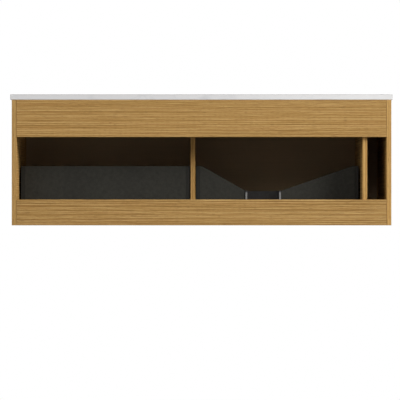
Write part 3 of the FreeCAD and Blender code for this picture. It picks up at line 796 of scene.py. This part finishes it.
@dataclass(frozen=True)
class PaleFloor(Finish):
    """Pale floor that turns white towards its edge and from below.

    Fields:
        middle: middle of the floor.
        radius: radius of the floor in metres.
    """

    GRAIN = Pattern(even(40.0), detail=3.0)
    DARK_SHADE = (232, 232, 231)
    LIGHT_SHADE = (238, 238, 237)
    # Start and end of the fade into the white, as shares of the radius.
    FADE = (0.45, 0.97)

    middle: Triple
    radius: float

    def paint(self, graph: Graph) -> None:
        """Fade a fine grain into a white glow.

        Args:
            graph: node tree of the finish.
        """
        point = graph.shift(graph.place(), times(self.middle, -1.0))
        reach = graph.signal(graph.add("VectorMath", {"operation": "LENGTH"}, {0: point}), "Value")
        fade = graph.span(reach, *(self.radius * share for share in self.FADE))
        tone = graph.noise(point, self.GRAIN)
        colour = graph.blend(tone, screen(*self.DARK_SHADE), screen(*self.LIGHT_SHADE))
        matt = graph.add("BsdfDiffuse", sockets={"Color": colour})
        glow = graph.add("Emission", sockets={"Color": WHITE, "Strength": 1.0})
        below = graph.signal(graph.add("NewGeometry"), "Backfacing")
        hidden = graph.maths("MAXIMUM", fade, below) * graph.seen()
        graph.add("OutputMaterial", sockets={"Surface": graph.mixed(hidden, matt, glow)})


LAMINATE = CharcoalLaminate("charcoal_laminate")
SIDE_LAMINATE = CharcoalLaminate("charcoal_side_laminate", band_share=0.5)
RECESS_LAMINATE = CharcoalLaminate("grey_recess_laminate", dark=(66, 65, 65), light=(77, 76, 76))
ZINC = SatinMetal("zinc_plate")
SCREW_STEEL = SatinMetal("screw_steel", light=(205, 206, 206), dark=(168, 170, 172), crystals=0.1,
                         roughness=0.26)
TRIM_METAL = SatinMetal("grey_anodised_trim", light=(127, 126, 124), dark=(112, 111, 109), streak=Axis.Z,
                        crystals=0.0, metallic=0.4, roughness=0.5)
NYLON = MouldedPlastic("grey_nylon")
RUBBER = MouldedPlastic("clear_rubber", light=(206, 206, 200), dark=(188, 188, 182), roughness=0.42)
# Share of the backing sheet on the boards that have one.
BACKED = 0.85


def front_veneer(board: str, slide: float) -> OakVeneer:
    """Return the quiet veneer of a front, which has a backing sheet behind."""
    return OakVeneer(f"oak_{board}", slide=slide, backing=BACKED, contrast=0.8)


def dress(finish: Finish, *nodes: str) -> None:
    """Give solids a finish.

    Args:
        finish: finish to lay on.
        nodes: names of the solids.
    """
    for node in nodes:
        solid = frame["nodes"][node]
        solid.data.materials.clear()
        solid.data.materials.append(finish.material())
        LOG.info("dressed %s in %s", node, finish.name)


def put(name: str, data: bpy.types.ID) -> bpy.types.Object:
    """Put an object into the scene.

    Args:
        name: its name.
        data: its mesh, camera or lamp.

    Returns:
        The object.
    """
    thing = bpy.data.objects.new(name, data)
    bpy.context.scene.collection.objects.link(thing)
    return thing


def aimed(point: Vector, way: Triple) -> Matrix:
    """Return the place of a fastener that stands on a point and looks the given way."""
    return Matrix.Translation(point) @ Vector(way).to_track_quat("Z", "Y").to_matrix().to_4x4()


def highest(mesh: bmesh.types.BMesh) -> bmesh.types.BMFace:
    """Return the face that lies highest."""
    return max(mesh.faces, key=lambda face: face.calc_center_median().z)


def edges_at(corners: list[bmesh.types.BMVert]) -> list[bmesh.types.BMEdge]:
    """Return the edges at some corners, each once and in a fixed order."""
    return list(dict.fromkeys(edge for corner in corners for edge in corner.link_edges))


def roll(mesh: bmesh.types.BMesh, edges: list[bmesh.types.BMEdge], size: float, segments: int = 2) -> None:
    """Round some edges of a mesh."""
    bmesh.ops.bevel(mesh, geom=edges, offset=size, affect="EDGES", segments=segments, profile=0.5,
                    material=-1)


@dataclass(frozen=True)
class CrossHead:
    """Domed screw head with a cross recess, standing on the origin."""

    SEGMENTS = 24
    # Shares of the radius: the crown, the rim round the recess and the recess's wall.
    CROWN = 0.8
    RIM = 0.06
    WALL = 0.03
    # Shares of the height: the dome and the recess.
    DOME = 0.45
    DEPTH = 0.6
    DOME_SEGMENTS = 3
    # Corners whose angle times the number of arms has a smaller cosine lie between the arms, and
    # move in to this share of their distance.
    ARMS = 4
    ARM_COSINE = 0.4
    DRAWN_IN = 0.4

    radius: float
    height: float

    def mesh(self) -> bmesh.types.BMesh:
        """Model the head.

        Returns:
            Its mesh.
        """
        mesh = bmesh.new()
        bmesh.ops.create_cone(mesh, cap_ends=True, segments=self.SEGMENTS, radius1=self.radius,
                              radius2=self.radius * self.CROWN, depth=self.height,
                              matrix=Matrix.Translation((0, 0, self.height / 2)))
        roll(mesh, list(highest(mesh).edges), self.height * self.DOME, self.DOME_SEGMENTS)
        crown = highest(mesh)
        bmesh.ops.inset_region(mesh, faces=[crown], thickness=self.radius * self.RIM)
        for corner in crown.verts:
            if math.cos(self.ARMS * math.atan2(corner.co.y, corner.co.x)) < self.ARM_COSINE:
                corner.co.xy *= self.DRAWN_IN
        bmesh.ops.inset_region(mesh, faces=[crown], thickness=self.radius * self.WALL,
                               depth=-self.height * self.DEPTH)
        return mesh


@dataclass(frozen=True)
class HexBolt:
    """Hexagon bolt head, with a radius over its corners, on a washer that stands on the origin."""

    SIDES = 6
    WASHER_SEGMENTS = 32
    # Shares of the head's height: the washer's sheet, the rolled edges, the dish in the crown and
    # the length that an edge has to pass to be rolled.
    SHEET = 0.22
    ROLL = 0.09
    DISH = 0.08
    LONG_EDGE = 0.2
    # Share of the sheet that the washer's edge is rolled by.
    SHEET_ROLL = 0.3
    # Share of the radius that the crown's rim takes.
    RIM = 0.22

    radius: float
    height: float
    washer: float

    def mesh(self) -> bmesh.types.BMesh:
        """Model the head and the washer.

        Returns:
            The mesh of both.
        """
        mesh = bmesh.new()
        sheet = self.height * self.SHEET
        bmesh.ops.create_cone(mesh, cap_ends=True, segments=self.WASHER_SEGMENTS, radius1=self.washer,
                              radius2=self.washer, depth=sheet,
                              matrix=Matrix.Translation((0, 0, sheet / 2)))
        roll(mesh, list(highest(mesh).edges), sheet * self.SHEET_ROLL)
        head = bmesh.ops.create_cone(mesh, cap_ends=True, segments=self.SIDES, radius1=self.radius,
                                     radius2=self.radius, depth=self.height,
                                     matrix=Matrix.Translation((0, 0, sheet + self.height / 2)))
        shortest = self.height * self.LONG_EDGE
        edges = [edge for edge in edges_at(head["verts"]) if edge.calc_length() > shortest]
        roll(mesh, edges, self.height * self.ROLL)
        bmesh.ops.inset_region(mesh, faces=[highest(mesh)], thickness=self.radius * self.RIM,
                               depth=-self.height * self.DISH)
        return mesh


def repeat(pattern: bmesh.types.BMesh, spots: list[Matrix]) -> bmesh.types.BMesh:
    """Copy a small shape to several places.

    Args:
        pattern: shape at the origin, which is freed.
        spots: place of each copy.

    Returns:
        One mesh of all the copies.
    """
    mould = bpy.data.meshes.new("mould")
    pattern.to_mesh(mould)
    pattern.free()
    whole = bmesh.new()
    for spot in spots:
        first = len(whole.verts)
        whole.from_mesh(mould)
        whole.verts.ensure_lookup_table()
        bmesh.ops.transform(whole, matrix=spot, verts=whole.verts[first:])
    bpy.data.meshes.remove(mould)
    return whole


def settle(name: str, mesh: bmesh.types.BMesh, body: Body, finish: Finish) -> None:
    """Turn a mesh into a piece that rides on a body.

    Args:
        name: name of the piece.
        mesh: its mesh in the shared frame, which is freed.
        body: moving group that carries it.
        finish: finish to lay on.
    """
    bmesh.ops.recalc_face_normals(mesh, faces=mesh.faces[:])
    data = bpy.data.meshes.new(name)
    mesh.to_mesh(data)
    mesh.free()
    data.shade_smooth()
    data.set_sharp_from_angle(angle=HARD_ANGLE)
    data.materials.append(finish.material())
    piece = put(name, data)
    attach(piece, body.value)
    LOG.info("built %s, %d faces", name, len(data.polygons))


def fasten(name: str, head: CrossHead | HexBolt, spots: list[Matrix], body: Body = Body.CARCASS) -> None:
    """Set a steel fastener on each spot, all of them as one piece."""
    settle(name, repeat(head.mesh(), spots), body, SCREW_STEEL)


class Assembly(ABC):
    """One sub-assembly of the vanity."""

    @abstractmethod
    def dress(self) -> None:
        """Lay finishes on the solids."""

    def build(self) -> None:
        """Add the small pieces of a sub-assembly that has some."""


@dataclass
class Carcass(Assembly):
    """Boards that stay on the wall, with the fittings of the slim door.

    Fields:
        screw: screw head of the door's fittings.
        bracket_sheet: thickness of the pivot bracket.
        bracket_places: distance of each screw from the bracket's front.
        catch_places: distance of each screw from the catch's front.
        stop_width: width of the strips that the fronts close towards.
        stop_depth: depth of these strips.
        stop_gap: gap from the fronts to these strips.
        stop_arris: size of these strips' rounded edges.
    """

    screw: CrossHead = CrossHead(radius=0.0032, height=0.0016)
    bracket_sheet: float = 0.0025
    bracket_places: Pair = (0.016, 0.031)
    catch_places: Pair = (0.009, 0.029)
    stop_width: float = 0.005
    stop_depth: float = 0.0025
    stop_gap: float = 0.002
    stop_arris: float = 0.0005

    def dress(self) -> None:
        """Lay oak on each board with its own stretch of veneer, and finishes on the fittings."""
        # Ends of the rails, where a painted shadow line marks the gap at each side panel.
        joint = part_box("hanging_rail")[1].x
        boards = {
            "hanging_rail": OakVeneer("oak_hanging_rail", joint=joint),
            "lower_rail": OakVeneer("oak_lower_rail", tone=0.87, slide=3.1, contrast=1.32, joint=joint),
            "front_rail": OakVeneer("oak_front_rail", slide=5.3, backing=BACKED),
            "bottom_panel": OakVeneer("oak_bottom_panel", slide=7.7),
            "side_panel_left": OakVeneer("oak_near_side", run=Axis.Y, band_tone=1.16, slide=11.3,
                                         contrast=0.8),
            "side_panel_right": OakVeneer("oak_far_side", run=Axis.Y, tone=1.18, band_tone=0.88,
                                          slide=12.6, contrast=0.8),
            "end_divider": OakVeneer("oak_end_divider", run=Axis.Y, band_tone=1.15, slide=13.4),
            "centre_divider": OakVeneer("oak_centre_divider", run=Axis.Y, band_tone=1.1, slide=15.8,
                                        ruddy=0.8),
        }
        for board, veneer in boards.items():
            dress(veneer, board)
        dress(BareBeech("bare_beech"), "carcass_dowels")
        dress(ZINC, "door_pivot_bracket", "door_pivot_pins")
        dress(NYLON, "door_catch")

    def build(self) -> None:
        """Add the screws of the door's fittings and the strips that the fronts close towards."""
        self.build_screws()
        self.build_stops()

    def build_screws(self) -> None:
        """Screw the pivot bracket to the side panel and the catch to the end divider."""
        low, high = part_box("door_pivot_bracket")
        level = (low.z + self.bracket_sheet + high.z) / 2
        spots = [aimed(Vector((low.x + self.bracket_sheet, low.y + along, level)), (1, 0, 0))
                 for along in self.bracket_places]
        low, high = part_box("door_catch")
        level = (low.z + high.z) / 2
        spots += [aimed(Vector((low.x, low.y + along, level)), (-1, 0, 0)) for along in self.catch_places]
        fasten("door_fitting_screws", self.screw, spots)

    def build_stops(self) -> None:
        """Line each side panel with the slim strip that the fronts close towards."""
        front_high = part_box("plain_drawer_front")[1]
        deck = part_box("bottom_panel")[1].z
        width, depth = self.stop_width, self.stop_depth
        mesh = bmesh.new()
        for wall, way in ((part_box("side_panel_left")[1].x, 1), (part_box("side_panel_right")[0].x, -1)):
            middle = Vector((wall + way * width / 2, front_high.y + self.stop_gap + depth / 2,
                             (deck + front_high.z) / 2))
            size = Matrix.Diagonal((width, depth, front_high.z - deck, 1))
            strip = bmesh.ops.create_cube(mesh, size=1.0, matrix=Matrix.Translation(middle) @ size)
            roll(mesh, edges_at(strip["verts"]), self.stop_arris)
        settle("front_stop_strips", mesh, Body.CARCASS, OakVeneer("oak_stop_strips", run=Axis.Z))


@dataclass
class StoneTop(Assembly):
    """Stone top with its ceramic basin and the clips that hold it.

    Fields:
        bolt: bolt head of the clips.
        foot: length of a clip's foot.
        clip_sheet: thickness of a clip.
        clip_spread: distance from the basin's middle to each clip at the wall's side.
    """

    bolt: HexBolt = HexBolt(radius=0.0055, height=0.004, washer=0.0072)
    foot: float = 0.016
    clip_sheet: float = 0.002
    clip_spread: float = 0.15

    def dress(self) -> None:
        """Lay stone, glaze and plating on the solids."""
        dress(HonedStone("honed_stone"), "countertop")
        dress(WhiteGlaze("white_glaze"), "sink_basin")
        dress(ZINC, "basin_clips")

    def build(self) -> None:
        """Bolt each basin clip up into the stone."""
        low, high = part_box("basin_clips")
        rim_low, rim_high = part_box("sink_basin")
        middle = (rim_low + rim_high) / 2
        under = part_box("countertop")[0].z - self.clip_sheet
        half = self.foot / 2
        points = [(low.x + half, middle.y), (high.x - half, middle.y),
                  (middle.x - self.clip_spread, high.y - half),
                  (middle.x + self.clip_spread, high.y - half)]
        spots = [aimed(Vector((across, along, under)), (0, 0, -1)) for across, along in points]
        fasten("basin_clip_bolts", self.bolt, spots)


@dataclass
class Drawer(Assembly):
    """One drawer: its boards, front, clips and runners.

    Fields:
        body: moving group of the drawer.
        slide: place in the flitch that the front was cut from.
        boards: endings of the names of its plain boards.
        clip_screw: screw head of the locking clips.
        clip_width: width of a clip.
        clip_length: length of a clip's block.
        clip_places: place of each screw as a share of that length.
        runner_screw: screw head of the cabinet runners.
        flange_sheet: thickness of a runner's flange.
        flange_level: height of the screws over a runner's foot.
        runner_places: place of each screw as a share of the runner's length.
    """

    body: Body
    slide: float
    boards: tuple[str, ...]
    clip_screw: CrossHead = CrossHead(radius=0.0035, height=0.0016)
    clip_width: float = 0.03
    clip_length: float = 0.055
    clip_places: Pair = (0.25, 0.75)
    runner_screw: CrossHead = CrossHead(radius=0.0038, height=0.001)
    flange_sheet: float = 0.0015
    flange_level: float = 0.0195
    runner_places: Triple = (0.12, 0.5, 0.88)

    def part(self, ending: str) -> str:
        """Return the full name of one of this drawer's pieces."""
        return f"{self.body.value}_{ending}"

    def dress(self) -> None:
        """Lay laminate on the box, oak on the front and finishes on the fittings."""
        dress(LAMINATE, *(self.part(board) for board in self.boards))
        dress(SIDE_LAMINATE, self.part("left_side"), self.part("right_side"))
        front = self.part("front")
        dress(front_veneer(front, self.slide), front)
        dress(NYLON, self.part("locking_clips"))
        dress(RUBBER, self.part("bumpers"))
        dress(ZINC, *(self.part(f"{side}_{member}_runner") for side in ("left", "right")
                      for member in ("cabinet", "middle", "drawer")))

    def build(self) -> None:
        """Screw the runners to the boards beside them and the clips to the base."""
        self.build_runner_screws()
        self.build_clip_screws()

    def build_runner_screws(self) -> None:
        """Put flat screws through the flange of each cabinet runner."""
        spots = []
        for side, way in (("left", 1), ("right", -1)):
            low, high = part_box(self.part(f"{side}_cabinet_runner"))
            face = low.x + self.flange_sheet if way > 0 else high.x - self.flange_sheet
            for place in self.runner_places:
                point = Vector((face, low.y + (high.y - low.y) * place, low.z + self.flange_level))
                spots.append(aimed(point, (way, 0, 0)))
        fasten(self.part("runner_screws"), self.runner_screw, spots)

    def build_clip_screws(self) -> None:
        """Put two screws up through the block of each locking clip."""
        low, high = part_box(self.part("locking_clips"))
        half = self.clip_width / 2
        spots = [aimed(Vector((across, low.y + self.clip_length * place, low.z)), (0, 0, -1))
                 for across in (low.x + half, high.x - half) for place in self.clip_places]
        fasten(self.part("clip_screws"), self.clip_screw, spots, self.body)


@dataclass
class SinkDrawer(Drawer):
    """Drawer under the basin, with a recess for the plumbing and a painted gap shadow beside one trim.

    Fields:
        shaded_gap_width: width of the painted gap shadow at the wing's end.
    """

    shaded_gap_width: float = 0.004

    def dress(self) -> None:
        """Dress the drawer, then the recess's trims and walls and the wing with its painted gap shadow."""
        super().dress()
        dress(TRIM_METAL, self.part("edge_trims"))
        dress(RECESS_LAMINATE, *(self.part(f"recess_{wall}_wall") for wall in ("left", "right", "end")))
        wing = self.part("right_wing")
        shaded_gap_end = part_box(wing)[0].x + self.shaded_gap_width
        dress(CharcoalLaminate("charcoal_wing_laminate", shaded_gap_end=shaded_gap_end), wing)


@dataclass
class SlimDoor(Assembly):
    """Slim door of the end bay with its bushes, strike plate and bumpers.

    Fields:
        slide: place in the flitch that the door was cut from.
    """

    slide: float = 21.6

    def dress(self) -> None:
        """Lay oak on the door and finishes on its fittings."""
        dress(front_veneer("slim_door", self.slide), "slim_door")
        dress(NYLON, "door_bushes")
        dress(ZINC, "door_strike_plate")
        dress(RUBBER, "door_bumpers")


@dataclass(frozen=True)
class Lamp:
    """Soft round lamp in a direction from the object, with its power in watts and its size in metres."""

    name: str
    way: Triple
    power: float
    size: float

    def hang(self, distance: float) -> None:
        """Hang the lamp so that it looks at the origin.

        Args:
            distance: distance from the origin in metres.
        """
        lamp = bpy.data.lights.new(self.name, "AREA")
        lamp.shape = "DISK"
        lamp.energy = self.power
        lamp.size = self.size
        holder = put(self.name, lamp)
        holder.location = Vector(self.way).normalized() * distance
        holder.rotation_mode = "QUATERNION"
        holder.rotation_quaternion = Vector(self.way).to_track_quat("Z", "Y")


@dataclass
class Studio:
    """Camera, soft lamps, white surroundings and pale floor.

    Places, distances and sizes are in metres, and the lens is in millimetres.
    """

    camera_spot: Triple = (0.0062, 10.0, -0.325)
    lens: float = 226.0
    camera_reach: float = 100.0
    lamps: tuple[Lamp, ...] = (
        Lamp("key_light", way=(-0.754, 0.49, 0.438), power=1100.0, size=4.4),
        Lamp("side_light", way=(0.644, 0.58, 0.5), power=370.0, size=8.0),
        Lamp("low_light", way=(0.0, 0.906, 0.423), power=88.0, size=2.8),
        Lamp("fill_light", way=(0.3, -0.92, 0.26), power=950.0, size=6.0))
    lamp_distance: float = 10.0
    ambient: float = 0.11
    floor_spot: Triple = (0.0, -0.26, -1.3)
    floor_radius: float = 2.1
    floor_segments: int = 96

    def clear(self) -> None:
        """Remove whatever the empty scene came with."""
        kept = set(frame["nodes"].values()) | set(frame["bodies"].values())
        for thing in list(bpy.data.objects):
            if thing not in kept:
                bpy.data.objects.remove(thing)

    def add_camera(self) -> None:
        """Look level at the back of the vanity."""
        camera = bpy.data.cameras.new("camera")
        camera.lens = self.lens
        camera.clip_end = self.camera_reach
        holder = put("camera", camera)
        holder.location = self.camera_spot
        holder.rotation_euler = (math.pi / 2, 0.0, math.pi)
        bpy.context.scene.camera = holder

    def add_world(self) -> None:
        """Surround the object with white that adds little light."""
        world = bpy.data.worlds.new("surroundings")
        world.use_nodes = True
        graph = Graph(world.node_tree)
        dim = graph.add("Background", sockets={"Color": WHITE, "Strength": self.ambient})
        white = graph.add("Background", sockets={"Color": WHITE, "Strength": 1.0})
        graph.add("OutputWorld", sockets={"Surface": graph.mixed(graph.seen(), dim, white)})
        bpy.context.scene.world = world

    def add_floor(self) -> None:
        """Lay a round floor that fades into the white around it."""
        mesh = bmesh.new()
        bmesh.ops.create_circle(mesh, cap_ends=True, segments=self.floor_segments,
                                radius=self.floor_radius, matrix=Matrix.Translation(self.floor_spot))
        data = bpy.data.meshes.new("floor")
        mesh.to_mesh(data)
        mesh.free()
        look = PaleFloor("pale_floor", middle=self.floor_spot, radius=self.floor_radius)
        data.materials.append(look.material())
        floor = put("floor", data)

    def build(self) -> None:
        """Set up the studio."""
        self.clear()
        self.add_camera()
        for lamp in self.lamps:
            lamp.hang(self.lamp_distance)
        self.add_world()
        self.add_floor()
        bpy.context.scene.view_settings.view_transform = "Standard"


def main() -> None:
    """Build the studio and dress the vanity, one sub-assembly after the other."""
    logging.basicConfig(level=logging.INFO, format="%(message)s")
    Studio().build()
    plain = Drawer(Body.PLAIN_DRAWER, slide=17.3, boards=("base", "back"))
    sink = SinkDrawer(Body.SINK_DRAWER, slide=19.5, boards=("base", "left_wing", "right_wing"))
    for assembly in (Carcass(), StoneTop(), plain, sink, SlimDoor()):
        assembly.dress()
        assembly.build()


if __name__ == "__main__":
    main()
